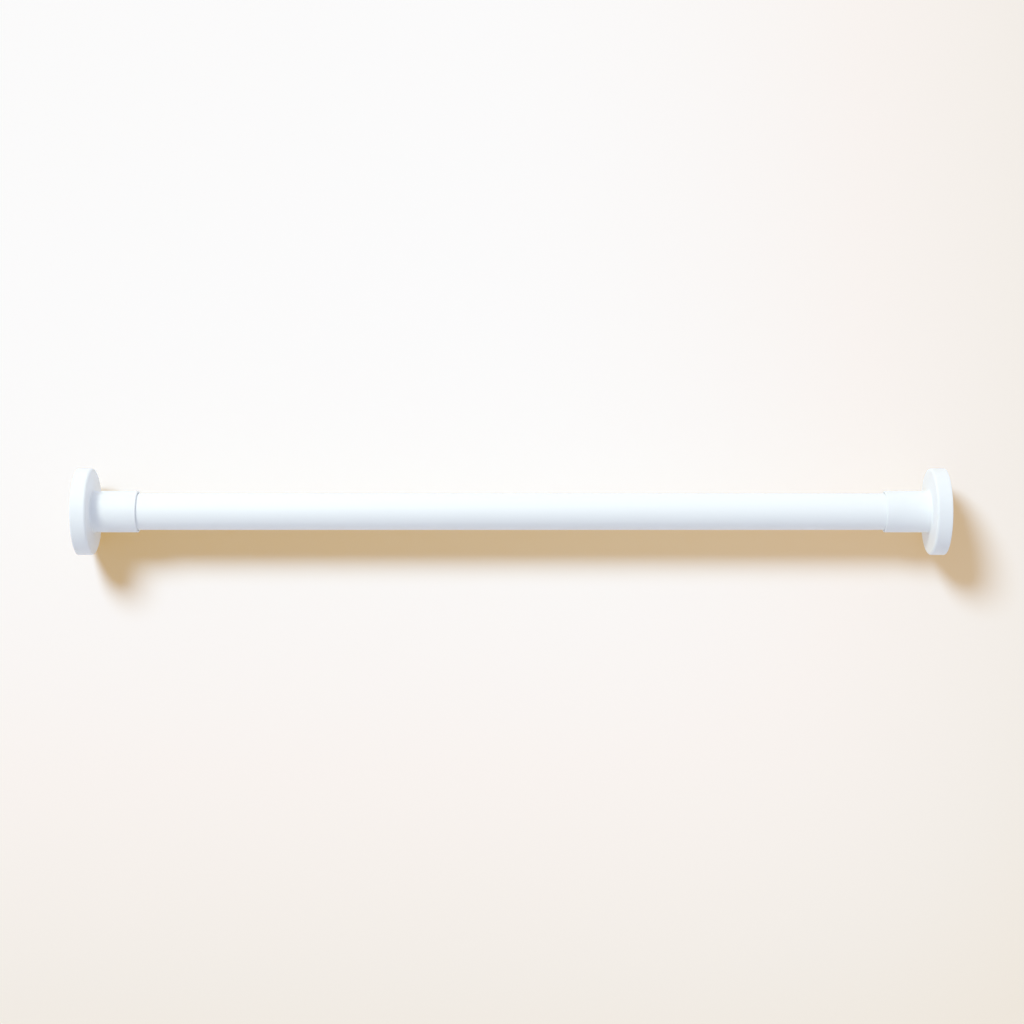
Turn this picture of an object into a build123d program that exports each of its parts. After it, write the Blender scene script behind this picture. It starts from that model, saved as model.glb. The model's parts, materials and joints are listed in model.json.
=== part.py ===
from build123d import *
from math import cos, radians, sin
import os

# An extendable curtain rod that presses between two walls, closed up to its shortest length.
# Millimetres. X runs along the rod, Z is up, and the origin is the centre of the left wall face.
# Outlines are drawn as (x, radius) points on the XZ plane and turned about the X axis.

# Whole rod
closed_length = 600.0
foot_travel = 12.0

# Tubes, with room between them for the mouth bush
outer_od = 25.4
outer_wall = 0.8
tube_clearance = 0.9
inner_wall = 0.8

# Beads rolled into the tubes, each biting into the plug or bush inside
bead_depth = 0.3
bead_width = 3.0
bead_clearance = 0.05
cup_bead_inset = 8.0
bush_bead_inset = 10.0

# Flange disc and collar, one moulding
flange_od = 60.0
flange_plate = 2.5
flange_rim_wall = 2.7
flange_edge_radius = 1.8
flange_back_radius = 0.5
collar_gap = 0.3
collar_wall = 1.4
collar_reach = 42.0
collar_foot_radius = 1.0
collar_lip_radius = 0.6
rib_count = 12
rib_thickness = 1.2

# Wall pad
pad_thickness = 4.0
pad_proud = 0.3
pad_gap = 0.3
pad_edge_radius = 0.5
pad_centre_radius = 8.0
groove_count = 4
groove_width = 1.8
groove_depth = 0.6
groove_taper = 0.3

# Clearances
seat_gap = 0.03
running_gap = 0.1
turning_gap = 0.1
screw_hole_gap = 0.15
end_gap = 0.3
head_room = 1.5
foot_stop_gap = 1.5
closing_gap = 1.5
lock_room = 15.0
lip_inset = 0.1

# Screws and washers
screw_d = 4.0
screw_length = 12.0
screw_head_d = 7.6
screw_head_height = 2.2
screw_head_radius = 1.2
screw_point = 0.5
tapped_reserve = 2.0
washer_od = 9.0
washer_thickness = 0.8
retaining_washer_od = 14.0
retaining_washer_thickness = 1.2

# Plunger rod and its spring
rod_d = 8.0
rod_chamfer = 0.5
spring_room = 1.2
spring_wire = 1.6
spring_turns = 9
thrust_washer_thickness = 1.2

# Spring cup in the outer tube
cup_lip = 1.5
cup_depth = 42.0
cup_floor = 4.0
cup_wall = 1.5
cup_edge_radius = 0.5

# Mouth bush in the outer tube
bush_lip = 1.5
bush_length = 20.0
bush_edge_radius = 0.3

# Lock plug in the inner tube, its off-centre journal and its cam ring
plug_length = 25.0
plug_floor = 6.0
plug_wall = 3.5
plug_shoulder = 3.0
journal_offset = 1.0
journal_length = 22.0
key_width = 2.0
key_height = 3.0
cam_wall = 3.95
cam_clearance = 0.35
cam_turn = 18.0
cam_groove_count = 16
cam_groove_radius = 0.5
cam_washer_od = 18.0
cam_washer_thickness = 1.2

# Foot plug in the inner tube
foot_plug_length = 28.0
foot_plug_lip = 3.0
foot_plug_lip_rise = 1.2
foot_plug_floor = 16.0

# Radii that follow from the sizes above
outer_radius = outer_od / 2
outer_bore = outer_radius - outer_wall
inner_radius = outer_bore - tube_clearance
inner_bore = inner_radius - inner_wall
collar_bore = outer_radius + collar_gap
collar_radius = collar_bore + collar_wall
flange_radius = flange_od / 2
rim_bore = flange_radius - flange_rim_wall
pad_radius = rim_bore - pad_gap
screw_hole = screw_d / 2 + screw_hole_gap
tapped_hole = screw_d / 2 + seat_gap
rod_radius = rod_d / 2
cup_bore = outer_bore - seat_gap - cup_wall
thrust_washer_radius = cup_bore - end_gap
spring_radius = cup_bore - spring_room - spring_wire / 2
cam_outer = outer_bore - cam_clearance
journal_radius = cam_outer - cam_wall - running_gap - journal_offset
plug_radius = inner_bore - seat_gap

# Places along the rod, measured from a wall face
plate_back = pad_thickness + head_room + screw_head_height + washer_thickness
plate_front = plate_back + flange_plate
washer_back = plate_back - washer_thickness

# Places along the rod, measured from the left wall face
outer_start = plate_front + foot_stop_gap + foot_travel + cup_lip
cup_end = outer_start + cup_depth
cup_floor_face = cup_end - cup_floor
rod_end = cup_end + end_gap
thrust_washer_end = cup_floor_face - turning_gap
thrust_washer_start = thrust_washer_end - thrust_washer_thickness
retaining_face = rod_end + retaining_washer_thickness
cam_screw_top = retaining_face + screw_head_height + foot_travel + lock_room
cam_screw_face = cam_screw_top + screw_head_height
journal_end = cam_screw_face + cam_washer_thickness
shoulder_start = journal_end + journal_length
inner_start = shoulder_start + plug_shoulder
foot_plug_end = closed_length - plate_front
inner_end = foot_plug_end - foot_plug_lip
outer_end = inner_end - closing_gap - bush_lip
cup_bead = outer_start + cup_bead_inset
bush_bead = outer_end - bush_bead_inset
lock_bead = inner_start + plug_length / 2
foot_bead = inner_end - foot_plug_length / 2


def half_section(outline, radii=None):
    """The face inside a closed outline of (x, radius) points, with a radius for each of its corners."""
    with BuildSketch(Plane.XZ) as section:
        with BuildLine():
            FilletPolyline(*outline, radius=radii or [0] * len(outline), close=True)
        make_face()
    return section.sketch


def foot_flange(wall, inward):
    """The flange disc and its collar, one moulding on a wall face, open behind and stiffened by ribs.
    inward is the way from the wall into the room along X, +1 or -1."""
    outline = [
        (pad_proud, flange_radius),
        (plate_front, flange_radius),
        (plate_front, collar_radius),
        (collar_reach, collar_radius),
        (collar_reach, collar_bore),
        (plate_front, collar_bore),
        (plate_front, screw_hole),
        (plate_back, screw_hole),
        (plate_back, collar_bore),
        (pad_thickness, collar_bore),
        (pad_thickness, collar_radius),
        (plate_back, collar_radius),
        (plate_back, rim_bore),
        (pad_proud, rim_bore),
    ]
    lip = min(collar_lip_radius, 0.45 * collar_wall)
    rounded = [flange_back_radius, flange_edge_radius, collar_foot_radius, lip, lip]
    radii = rounded + [0] * (len(outline) - len(rounded))
    with BuildPart() as flange:
        revolve(half_section([(wall + inward * x, r) for x, r in outline], radii), axis=Axis.X)
        with BuildSketch(Plane.YZ.offset(wall + inward * pad_thickness)):
            with PolarLocations((collar_radius + rim_bore) / 2, rib_count):
                Rectangle(rim_bore - collar_radius + collar_wall, rib_thickness)
        extrude(amount=inward * (plate_back - pad_thickness))
    return flange


def foot_pad(wall, inward):
    """The soft pad that bears on the wall, seated on the ribs inside the flange's rim, with rings of
    shallow tapered grooves round a plain centre."""
    outline = [(pad_thickness, 0), (0, 0)]
    pitch = (pad_radius - pad_centre_radius) / groove_count
    for ring in range(groove_count):
        middle = pad_centre_radius + (ring + 0.5) * pitch
        half = groove_width / 2
        outline += [
            (0, middle - half),
            (groove_depth, middle - half + groove_taper),
            (groove_depth, middle + half - groove_taper),
            (0, middle + half),
        ]
    outline += [(0, pad_radius), (pad_thickness, pad_radius)]
    radii = [0] * (len(outline) - 2) + [pad_edge_radius, 0]
    with BuildPart() as pad:
        revolve(half_section([(wall + inward * x, r) for x, r in outline], radii), axis=Axis.X)
    return pad


def washer(start, thickness, radius, height=0):
    """A flat washer from start along X, its axis at the given height."""
    with BuildPart() as ring:
        with BuildSketch(Plane.YZ.offset(start)):
            with Locations((0, height)):
                Circle(radius)
                Circle(screw_hole, mode=Mode.SUBTRACT)
        extrude(amount=thickness)
    return ring


def pan_screw(face, inward, height=0):
    """A pan-head screw, its axis at the given height. Its head bears at face and its shank runs inward,
    +1 or -1 along X."""
    top = face - inward * screw_head_height
    tip = face + inward * screw_length
    outline = [
        (top, 0),
        (top, screw_head_d / 2),
        (face, screw_head_d / 2),
        (face, screw_d / 2),
        (tip, screw_d / 2),
        (tip, 0),
    ]
    section = half_section([(x, height + r) for x, r in outline], [0, screw_head_radius, 0, 0, screw_point, 0])
    with BuildPart() as screw:
        revolve(section, axis=Axis((0, 0, height), (1, 0, 0)))
    return screw


def beaded_line(start, end, radius, bead_centres):
    """One wall of a tube in its outline, straight but for a shallow inward arc at each bead."""
    here = start
    for centre in bead_centres:
        near, far = centre - bead_width / 2, centre + bead_width / 2
        Line((here, radius), (near, radius))
        ThreePointArc((near, radius), (centre, radius - bead_depth), (far, radius))
        here = far
    Line((here, radius), (end, radius))


def tube(start, end, radius, wall, bead_centres):
    """A drawn tube with beads rolled into it, its wall of one thickness throughout."""
    with BuildPart() as piece:
        with BuildSketch(Plane.XZ):
            with BuildLine():
                beaded_line(start, end, radius, bead_centres)
                Line((end, radius), (end, radius - wall))
                beaded_line(start, end, radius - wall, bead_centres)
                Line((start, radius - wall), (start, radius))
            make_face()
        revolve(axis=Axis.X)
    return piece


def bead_groove(centre, radius):
    """The section of the ring groove that a rolled bead sits in, in a piece of the given outer radius."""
    half = bead_width / 2 + bead_clearance
    deep = bead_depth + bead_clearance
    with BuildSketch(Plane.XZ) as section:
        with BuildLine():
            ThreePointArc((centre - half, radius), (centre, radius - deep), (centre + half, radius))
            Polyline(
                (centre + half, radius),
                (centre + half, radius + deep),
                (centre - half, radius + deep),
                (centre - half, radius),
            )
        make_face()
    return section.sketch


# Left foot, the sprung one
left_flange = foot_flange(wall=0, inward=1)
left_pad = foot_pad(wall=0, inward=1)
left_washer = washer(washer_back, washer_thickness, washer_od / 2)
left_screw = pan_screw(washer_back, inward=1)

# Plunger rod, tapped at both ends
with BuildPart() as plunger_rod:
    with BuildSketch(Plane.YZ.offset(plate_front)):
        Circle(rod_radius)
    extrude(amount=rod_end - plate_front)
    chamfer(plunger_rod.edges().filter_by(GeomType.CIRCLE), rod_chamfer)
    with Locations(Plane(plunger_rod.faces().sort_by(Axis.X)[0])):
        Hole(tapped_hole, depth=screw_length - washer_thickness - flange_plate + tapped_reserve)
    with Locations(Plane(plunger_rod.faces().sort_by(Axis.X)[-1])):
        Hole(tapped_hole, depth=screw_length - retaining_washer_thickness + tapped_reserve)

retaining_washer = washer(rod_end, retaining_washer_thickness, retaining_washer_od / 2)
retaining_screw = pan_screw(retaining_face, inward=-1)

# Foot spring, a round wire wound on past its seats and ground flat at both ends
spring_start = plate_front + seat_gap
spring_end = thrust_washer_start - seat_gap
spring_pitch = (spring_end - spring_start) / spring_turns
with BuildPart() as foot_spring:
    with BuildLine() as coil:
        Helix(
            spring_pitch,
            spring_end - spring_start,
            spring_radius,
            center=(spring_start, 0, 0),
            direction=(1, 0, 0),
        )
    with BuildSketch(Plane(origin=coil.line @ 0, z_dir=coil.line % 0)):
        Circle(spring_wire / 2)
    sweep(path=coil.line)
    with BuildSketch(Plane.YZ.offset(spring_start)):
        Circle(spring_radius + spring_wire)
    extrude(amount=spring_end - spring_start, mode=Mode.INTERSECT)

# Thrust washer between the spring and the turning cup
with BuildPart() as thrust_washer:
    with BuildSketch(Plane.YZ.offset(thrust_washer_start)):
        Circle(thrust_washer_radius)
        Circle(rod_radius + running_gap, mode=Mode.SUBTRACT)
    extrude(amount=thrust_washer_thickness)

# Spring cup, its lip on the end of the outer tube
cup_outline = [
    (outer_start - cup_lip, cup_bore),
    (outer_start - cup_lip, outer_radius - lip_inset),
    (outer_start, outer_radius - lip_inset),
    (outer_start, outer_bore - seat_gap),
    (cup_end, outer_bore - seat_gap),
    (cup_end, rod_radius + running_gap),
    (cup_floor_face, rod_radius + running_gap),
    (cup_floor_face, cup_bore),
]
cup_radii = [cup_edge_radius, cup_edge_radius, 0, 0, cup_edge_radius, 0, 0, cup_edge_radius]
with BuildPart() as spring_cup:
    revolve(half_section(cup_outline, cup_radii), axis=Axis.X)
    revolve(bead_groove(cup_bead, outer_bore - seat_gap), axis=Axis.X, mode=Mode.SUBTRACT)

outer_tube = tube(outer_start, outer_end, outer_radius, outer_wall, [cup_bead, bush_bead])

# Mouth bush, held by the rolled bead but free to turn
bush_outline = [
    (outer_end - bush_length, inner_radius + running_gap),
    (outer_end - bush_length, outer_bore - turning_gap),
    (outer_end + turning_gap, outer_bore - turning_gap),
    (outer_end + turning_gap, outer_radius - lip_inset),
    (outer_end + bush_lip, outer_radius - lip_inset),
    (outer_end + bush_lip, inner_radius + running_gap),
]
with BuildPart() as mouth_bush:
    revolve(half_section(bush_outline, [0, 0, 0] + [bush_edge_radius] * 3), axis=Axis.X)
    revolve(bead_groove(bush_bead, outer_bore - turning_gap), axis=Axis.X, mode=Mode.SUBTRACT)

inner_tube = tube(inner_start, inner_end, inner_radius, inner_wall, [lock_bead, foot_bead])

# Lock plug, hollow from behind, with its journal and the key that stops the cam ring
lock_outline = [
    (shoulder_start, 0),
    (shoulder_start, inner_radius),
    (inner_start, inner_radius),
    (inner_start, plug_radius),
    (inner_start + plug_length, plug_radius),
    (inner_start + plug_length, plug_radius - plug_wall),
    (inner_start + plug_floor, plug_radius - plug_wall),
    (inner_start + plug_floor, 0),
]
with BuildPart() as lock_plug:
    revolve(half_section(lock_outline), axis=Axis.X)
    revolve(bead_groove(lock_bead, plug_radius), axis=Axis.X, mode=Mode.SUBTRACT)
    with BuildSketch(Plane.YZ.offset(journal_end)):
        with Locations((0, journal_offset)):
            Circle(journal_radius)
        with Locations((0, journal_offset + journal_radius)):
            Rectangle(key_width, 2 * key_height)
    extrude(amount=journal_length)
    with BuildSketch(Plane.YZ.offset(journal_end)):
        with Locations((0, journal_offset)):
            Circle(tapped_hole)
    extrude(amount=screw_length - cam_washer_thickness + tapped_reserve, mode=Mode.SUBTRACT)

# Cam ring, its bore off centre and its slit wide enough for the key and the ring's own turn
slit_half = key_width / 2 + end_gap
swing = radians(cam_turn)
far_edge_foot = (slit_half * cos(swing), -slit_half * sin(swing))
far_edge_end = (far_edge_foot[0] + outer_od * sin(swing), far_edge_foot[1] + outer_od * cos(swing))
with BuildPart() as cam_ring:
    with BuildSketch(Plane.YZ.offset(journal_end + end_gap)):
        Circle(cam_outer)
        with PolarLocations(cam_outer, cam_groove_count, start_angle=90 + 180 / cam_groove_count):
            Circle(cam_groove_radius, mode=Mode.SUBTRACT)
        with Locations((0, journal_offset)):
            Circle(journal_radius + running_gap, mode=Mode.SUBTRACT)
            with BuildLine():
                Polyline((-slit_half, 0), (-slit_half, outer_od), far_edge_end, far_edge_foot, close=True)
            make_face(mode=Mode.SUBTRACT)
    extrude(amount=journal_length - 2 * end_gap)

# The cam ring's washer and screw, on the journal's own axis
cam_washer = washer(cam_screw_face, cam_washer_thickness, cam_washer_od / 2, height=journal_offset)
cam_screw = pan_screw(cam_screw_face, inward=1, height=journal_offset)

# Right foot, fixed to a plug in the inner tube
foot_plug_outline = [
    (inner_end - foot_plug_length, plug_radius - plug_wall),
    (inner_end - foot_plug_length, plug_radius),
    (inner_end, plug_radius),
    (inner_end, inner_radius + foot_plug_lip_rise),
    (foot_plug_end, inner_radius + foot_plug_lip_rise),
    (foot_plug_end, 0),
    (foot_plug_end - foot_plug_floor, 0),
    (foot_plug_end - foot_plug_floor, plug_radius - plug_wall),
]
with BuildPart() as right_plug:
    revolve(half_section(foot_plug_outline), axis=Axis.X)
    revolve(bead_groove(foot_bead, plug_radius), axis=Axis.X, mode=Mode.SUBTRACT)
    with Locations(Plane(right_plug.faces().sort_by(Axis.X)[-1])):
        Hole(tapped_hole, depth=screw_length - washer_thickness - flange_plate + tapped_reserve)

right_flange = foot_flange(wall=closed_length, inward=-1)
right_pad = foot_pad(wall=closed_length, inward=-1)
right_washer = washer(closed_length - plate_back, washer_thickness, washer_od / 2)
right_screw = pan_screw(closed_length - washer_back, inward=-1)

pieces = {
    "left_flange": left_flange,
    "left_pad": left_pad,
    "left_washer": left_washer,
    "left_screw": left_screw,
    "plunger_rod": plunger_rod,
    "retaining_washer": retaining_washer,
    "retaining_screw": retaining_screw,
    "foot_spring": foot_spring,
    "thrust_washer": thrust_washer,
    "spring_cup": spring_cup,
    "outer_tube": outer_tube,
    "mouth_bush": mouth_bush,
    "inner_tube": inner_tube,
    "lock_plug": lock_plug,
    "cam_ring": cam_ring,
    "cam_washer": cam_washer,
    "cam_screw": cam_screw,
    "right_plug": right_plug,
    "right_flange": right_flange,
    "right_pad": right_pad,
    "right_washer": right_washer,
    "right_screw": right_screw,
}

os.makedirs("parts", exist_ok=True)
for name, piece in pieces.items():
    piece.part.label = name
    export_step(piece.part, f"parts/{name}.step")
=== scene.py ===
"""An extendable curtain rod, closed up: powder-coated telescopic tubes, moulded flange feet with soft wall
pads, and inside them the foot spring, cam lock, mouth bush, plugs, screws and washers.
Metres. X runs along the rod, Z is up, and the origin is the centre of the left wall face."""
import json
from types import SimpleNamespace

import bmesh
import bpy
import numpy as np
from bpy.props import FloatProperty, FloatVectorProperty, IntProperty, PointerProperty
from bpy.types import Operator, Panel, PropertyGroup
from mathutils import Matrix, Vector


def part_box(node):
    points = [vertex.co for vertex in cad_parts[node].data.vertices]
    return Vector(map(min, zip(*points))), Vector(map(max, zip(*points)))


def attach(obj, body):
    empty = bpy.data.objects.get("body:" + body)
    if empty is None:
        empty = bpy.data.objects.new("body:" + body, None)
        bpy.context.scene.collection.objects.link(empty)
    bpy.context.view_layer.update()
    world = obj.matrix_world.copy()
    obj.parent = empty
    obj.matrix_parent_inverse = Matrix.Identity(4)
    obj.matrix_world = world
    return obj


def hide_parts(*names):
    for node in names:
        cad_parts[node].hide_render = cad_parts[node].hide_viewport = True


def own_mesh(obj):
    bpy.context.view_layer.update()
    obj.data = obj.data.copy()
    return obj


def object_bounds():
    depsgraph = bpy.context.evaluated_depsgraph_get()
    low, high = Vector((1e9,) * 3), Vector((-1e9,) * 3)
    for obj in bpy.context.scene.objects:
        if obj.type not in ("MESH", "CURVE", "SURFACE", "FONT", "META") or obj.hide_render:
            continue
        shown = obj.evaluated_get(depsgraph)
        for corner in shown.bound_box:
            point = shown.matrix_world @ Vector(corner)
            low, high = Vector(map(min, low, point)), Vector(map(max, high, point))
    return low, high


bl_info = {
    "name": "Extendable Curtain Rod",
    "version": (1, 0, 0),
    "blender": (4, 5, 0),
    "location": "3D View > Sidebar > Curtain Rod",
    "description": "Builds the tubes, feet, lock and stage of a telescopic curtain rod",
    "category": "Object",
}

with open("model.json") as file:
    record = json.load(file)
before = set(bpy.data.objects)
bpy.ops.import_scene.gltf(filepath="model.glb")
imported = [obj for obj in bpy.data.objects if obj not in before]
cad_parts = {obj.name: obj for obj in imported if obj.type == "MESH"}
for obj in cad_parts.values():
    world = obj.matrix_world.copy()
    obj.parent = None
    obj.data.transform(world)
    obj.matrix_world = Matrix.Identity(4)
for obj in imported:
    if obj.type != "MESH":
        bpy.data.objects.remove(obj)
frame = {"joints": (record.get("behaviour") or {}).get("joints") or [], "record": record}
CAD_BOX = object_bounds()
BODY_OF = {node: body for body, nodes in frame["record"]["behaviour"]["bodies"].items() for node in nodes}
SLOT_OF = {part["node"]: part["material_slot"] for part in frame["record"]["subparts"]}

MM = 0.001
PIECE_PREFIX = "finished_"

# Points closer than this are merged, and a divisor stays at least this large
SAME_POINT = 0.0005 * MM
LEAST_DIVISOR = 1e-6

# Columns round a turned piece, and rows on each rounded corner
COLUMNS = 192
PLUG_COLUMNS = 128
ROD_COLUMNS = 96
CORNER_ROWS = 7

# The longest step along an outline, on broad faces and where it follows a bead
BROAD_STEP = 3.0 * MM
FINE_STEP = 0.5 * MM


def extent(node):
    """A CAD node's start and end along the rod, and its largest radius."""
    low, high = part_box(node)
    return low.x, high.x, high.y


def middle_height(node):
    """How high over the rod's axis a CAD node's own axis lies."""
    low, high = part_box(node)
    return (low.z + high.z) / 2


def joint_range(name):
    """How far a joint goes from rest, in metres or radians."""
    joint = next(joint for joint in frame["joints"] if joint["name"] == name)
    return joint["range_m"][1] if "range_m" in joint else np.radians(joint["range_deg"][1])


def unit(vectors):
    """Each vector divided by its own length."""
    return vectors / np.linalg.norm(vectors, axis=-1, keepdims=True)


def rounded(outline, closed=True, rows=CORNER_ROWS):
    """An outline of (x, radius, corner radius) points, each corner cut back to the arc that touches both its
    sides. A point of an arc is its centre plus the two contact radii, mixed by the sines of the angles that
    are left and done."""
    outline = np.array(outline, float)
    corners, corner_radius = outline[:, :2], outline[:, 2:]
    to_last = unit(np.roll(corners, 1, 0) - corners)
    to_next = unit(np.roll(corners, -1, 0) - corners)
    turn = np.pi - np.arccos(np.clip((to_last * to_next).sum(1, keepdims=True), -1, 1))
    centre = corners + unit(to_last + to_next) * corner_radius / np.cos(turn / 2)
    reach = corner_radius * np.tan(turn / 2)
    first = (corners + to_last * reach - centre)[:, None]
    last = (corners + to_next * reach - centre)[:, None]
    done = np.linspace(0, 1, rows)[:, None] * turn[:, None]
    left = turn[:, None] - done
    arcs = centre[:, None] + (np.sin(left) * first + np.sin(done) * last) / np.sin(turn[:, None])
    if closed:
        return arcs.reshape(-1, 2)
    return np.concatenate([corners[:1], arcs[1:-1].reshape(-1, 2), corners[-1:]])


def evenly_rounded(outline, corner, closed=True, rows=CORNER_ROWS):
    """An outline of (x, radius) points with the same radius at every corner."""
    return rounded([(*point, corner) for point in outline], closed, rows)


def spaced(outline, longest, closed=True):
    """An outline with more points on its long runs, evenly spread, so that no step is longer than longest."""
    starts = outline if closed else outline[:-1]
    ends = np.roll(outline, -1, 0) if closed else outline[1:]
    parts = np.maximum(1, np.ceil(np.linalg.norm(ends - starts, axis=1) / longest)).astype(int)
    run = np.repeat(np.arange(len(parts)), parts)
    share = (np.arange(parts.sum()) - np.repeat(np.cumsum(parts) - parts, parts)) / parts[run]
    points = starts[run] + share[:, None] * (ends - starts)[run]
    return points if closed else np.concatenate([points, outline[-1:]])


def dip(x, centre, width, depth):
    """A rolled bead's depth at x: depth times the square of a cosine that falls to nothing at its edges."""
    share = np.clip((x - centre) / width, -0.5, 0.5)
    return depth * np.cos(np.pi * share) ** 2


def round_angles(columns=COLUMNS):
    """Evenly spread angles round the rod's axis, from straight up."""
    return np.arange(columns) * 2 * np.pi / columns


def ringed(x, radius, angles, height=0.0):
    """Rows of rings across the rod's axis. The point at angle a of a row is (x, radius sin a, height + radius
    cos a)."""
    x, radius, height = (np.asarray(value, float) for value in (x, radius, height))
    x, radius, height = (value[:, None] if value.ndim == 1 else value for value in (x, radius, height))
    x, radius, angles, height = np.broadcast_arrays(x, radius, angles, height)
    return np.stack([x, radius * np.sin(angles), height + radius * np.cos(angles)], axis=-1)


def turned(outline, columns=COLUMNS, height=0.0):
    """An outline of (x, radius) points turned once round the rod's axis."""
    outline = np.asarray(outline)
    return ringed(outline[:, 0], outline[:, 1], round_angles(columns), height)


def woven(grid, close_rows=False, capped=False, close_columns=True):
    """The faces of a grid of points: a quad between each four neighbours, and on a capped grid a fan to the
    middle of its first and of its last row. Returns points, quads and triangles."""
    rows, columns = grid.shape[:2]
    points = grid.reshape(-1, 3)
    index = np.arange(rows * columns).reshape(rows, columns)
    index = np.concatenate([index, index[:1]]) if close_rows else index
    index = np.concatenate([index, index[:, :1]], axis=1) if close_columns else index
    quads = np.stack([index[:-1, :-1], index[:-1, 1:], index[1:, 1:], index[1:, :-1]], axis=-1).reshape(-1, 4)
    fans = np.zeros((0, 3), int)
    if capped:
        first, last = len(points), len(points) + 1
        points = np.concatenate([points, grid[:1].mean(1), grid[-1:].mean(1)])
        fans = np.concatenate([
            np.stack([index[0, 1:], index[0, :-1], np.full(index.shape[1] - 1, first)], axis=-1),
            np.stack([index[-1, :-1], index[-1, 1:], np.full(index.shape[1] - 1, last)], axis=-1),
        ])
    return points, quads, fans


def joined(surfaces):
    """Several woven surfaces as one."""
    starts = np.cumsum([0] + [len(points) for points, _, _ in surfaces])[:-1]
    return (
        np.concatenate([points for points, _, _ in surfaces]),
        np.concatenate([quads + start for start, (_, quads, _) in zip(starts, surfaces)]),
        np.concatenate([fans + start for start, (_, _, fans) in zip(starts, surfaces)]),
    )


def finish_piece(node, surface, crease=35.0):
    """Makes the finished piece that stands for a CAD node. Its faces are turned outwards by the sign of the
    volume that they enclose, and edges sharper than crease degrees stay sharp."""
    points, quads, fans = surface
    triangles = np.concatenate([quads[:, [0, 1, 2]], quads[:, [0, 2, 3]], fans])
    a, b, c = (points[triangles[:, corner]] for corner in range(3))
    if np.einsum("ij,ij->", a, np.cross(b, c)) < 0:
        quads, fans = quads[:, ::-1], fans[:, ::-1]
    mesh = bpy.data.meshes.new(PIECE_PREFIX + node)
    mesh.from_pydata(points.tolist(), [], quads.tolist() + fans.tolist())
    shape = bmesh.new()
    shape.from_mesh(mesh)
    bmesh.ops.remove_doubles(shape, verts=shape.verts, dist=SAME_POINT)
    shape.to_mesh(mesh)
    shape.free()
    mesh.shade_smooth()
    mesh.set_sharp_from_angle(angle=np.radians(crease))
    piece = bpy.data.objects.new(PIECE_PREFIX + node, mesh)
    bpy.context.scene.collection.objects.link(piece)
    weighted = piece.modifiers.new("even_shading", "WEIGHTED_NORMAL")
    weighted.keep_sharp = True
    mesh.materials.append(finish_of(SLOT_OF[node]))
    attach(piece, BODY_OF[node])
    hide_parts(node)
    return piece


# Finishes
# Most of a noise texture's values lie in this range
NOISE_RANGE = (0.3, 0.7)
# The wave texture's period at a scale of one, and the feed of the tool that turned the steel
WAVE_PERIOD = 0.314
FEED = 0.16 * MM


def add_node(tree, kind, inputs=None, **settings):
    """One shader node with its settings and its inputs, each a value or another node's output."""
    made = tree.nodes.new(kind)
    for name, value in settings.items():
        setattr(made, name, value)
    for name, value in (inputs or {}).items():
        if isinstance(value, bpy.types.NodeSocket):
            tree.links.new(value, made.inputs[name])
        else:
            made.inputs[name].default_value = value
    return made


def new_finish(name, roughness, metallic=0.0, **sockets):
    """A material with its constants on the shader's own sockets, and the object's coordinates to draw on."""
    material = bpy.data.materials.new(name)
    material.use_nodes = True
    tree = material.node_tree
    shader = tree.nodes["Principled BSDF"]
    shader.inputs["Roughness"].default_value = roughness
    shader.inputs["Metallic"].default_value = metallic
    for socket, value in sockets.items():
        shader.inputs[socket.replace("_", " ")].default_value = value
    place = add_node(tree, "ShaderNodeTexCoord").outputs["Object"]
    return material, tree, shader, place


def grain(tree, place, size, detail=2.0, stretch=(1.0, 1.0, 1.0)):
    """Noise whose spots are about size metres across, stretched along the axes by stretch."""
    mapped = add_node(tree, "ShaderNodeMapping", {"Vector": place, "Scale": [1 / s for s in stretch]})
    noise = add_node(
        tree, "ShaderNodeTexNoise", {"Vector": mapped.outputs["Vector"], "Scale": 1 / size, "Detail": detail}
    )
    return noise.outputs["Fac"]


def vary_colour(tree, shader, factor, low, high, spread=NOISE_RANGE):
    """Runs the base colour from low to high as the factor crosses the spread."""
    ramp = add_node(tree, "ShaderNodeValToRGB", {"Fac": factor})
    for element, position, colour in zip(ramp.color_ramp.elements, spread, (low, high)):
        element.position = position
        element.color = (*colour, 1)
    tree.links.new(ramp.outputs["Color"], shader.inputs["Base Color"])


def vary_roughness(tree, shader, factor, low, high):
    """Runs the roughness from low to high as the factor crosses the range of most noise."""
    start, end = NOISE_RANGE
    scaled = add_node(
        tree, "ShaderNodeMapRange",
        {"Value": factor, "From Min": start, "From Max": end, "To Min": low, "To Max": high})
    tree.links.new(scaled.outputs["Result"], shader.inputs["Roughness"])


def relief(tree, shader, heights):
    """Stacks bumps, each a height output with its depth in metres, on the shader's normal."""
    normal = None
    for height, depth in heights:
        inputs = {"Height": height, "Distance": depth, "Strength": 1.0}
        if normal:
            inputs["Normal"] = normal
        normal = add_node(tree, "ShaderNodeBump", inputs).outputs["Normal"]
    tree.links.new(normal, shader.inputs["Normal"])


def tinted(colour, share):
    """A colour scaled by a share."""
    return tuple(channel * share for channel in colour)


def powder_coat(finishes):
    """White powder coat: a faint orange peel about a millimetre across, with finer grit on it."""
    material, tree, shader, place = new_finish("powder_coat", roughness=0.56)
    colour = finishes.white_paint
    patches = grain(tree, place, 18 * MM, detail=3.0, stretch=(4.0, 1.0, 1.0))
    vary_colour(tree, shader, patches, low=tinted(colour, 0.985), high=colour)
    vary_roughness(tree, shader, grain(tree, place, 6 * MM), low=0.52, high=0.6)
    peel = grain(tree, place, finishes.peel_size)
    grit = grain(tree, place, finishes.peel_size / 4)
    relief(tree, shader, [(peel, finishes.peel_depth), (grit, finishes.peel_depth / 5)])
    return material


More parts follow.
